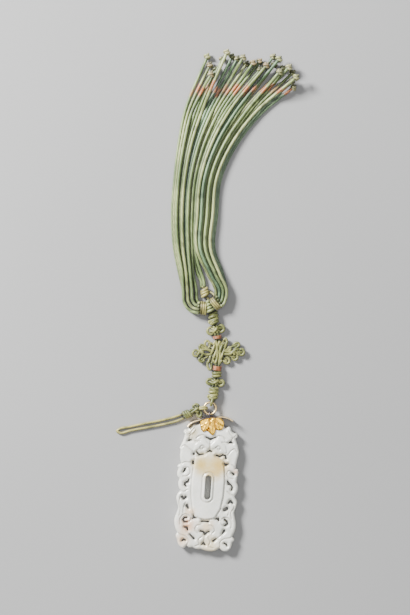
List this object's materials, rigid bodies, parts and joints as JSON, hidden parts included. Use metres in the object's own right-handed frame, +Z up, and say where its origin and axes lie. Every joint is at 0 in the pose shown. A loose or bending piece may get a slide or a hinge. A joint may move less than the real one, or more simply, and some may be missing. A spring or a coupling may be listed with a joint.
{
  "type": "plaque pendant",
  "caption": "Openwork carved jade plaque pendant with a gilt mount and ring, knotted silk cord, side hanging loop and long tassel, lying flat",
  "frame": {"origin": "On the surface that the pendant lies on, under the middle of the box round the jade plaque, its mount and its ring", "axes": "+Y along the pendant towards the tassel, +X to the right seen from above, +Z up out of the carved face"},
  "size_m": [0.0856, 0.2768, 0.0096],
  "materials": {
    "jade": "polished pale jade, slightly translucent, with honey and russet tints",
    "gilt": "worn gilt, satin",
    "silk_cord": "sage-green braided silk cord",
    "tassel_silk": "grey-green twisted silk cord with orange dyed bands near its ends",
    "orange_thread": "orange silk thread"
  },
  "bodies": {
    "root": {"jade_plaque": "jade", "gilt_canopy": "gilt", "suspension_ring": "gilt", "ring_bight": "silk_cord", "lower_double_knot": "silk_cord", "lower_cross_knot": "silk_cord", "band_knot": "silk_cord", "lower_orange_wrap": "orange_thread", "endless_knot": "silk_cord", "upper_orange_wrap": "orange_thread", "upper_cross_knot": "silk_cord", "upper_double_knot": "silk_cord", "side_hitch": "silk_cord", "side_clover_knot": "silk_cord", "side_sleeve_knot": "silk_cord", "side_loop_cord": "silk_cord", "tassel_collar_left": "silk_cord", "tassel_collar_right": "silk_cord", "tassel_skein": "tassel_silk", "tail_knot": "silk_cord", "tail_arc": "silk_cord", "tassel_strand_01": "tassel_silk", "tassel_strand_02": "tassel_silk", "tassel_strand_03": "tassel_silk", "tassel_strand_04": "tassel_silk", "tassel_strand_05": "tassel_silk", "tassel_strand_06": "tassel_silk", "tassel_strand_07": "tassel_silk", "tassel_strand_08": "tassel_silk", "tassel_strand_09": "tassel_silk", "tassel_strand_10": "tassel_silk", "tassel_strand_11": "tassel_silk", "tassel_strand_12": "tassel_silk", "tassel_strand_13": "tassel_silk", "tassel_strand_14": "tassel_silk", "tassel_strand_15": "tassel_silk", "tassel_strand_16": "tassel_silk", "tassel_strand_17": "tassel_silk", "tassel_strand_18": "tassel_silk", "tassel_strand_19": "tassel_silk", "tassel_strand_20": "tassel_silk", "tassel_strand_21": "tassel_silk", "tassel_strand_22": "tassel_silk", "tassel_strand_23": "tassel_silk", "tassel_strand_24": "tassel_silk"}
  },
  "joints": []
}
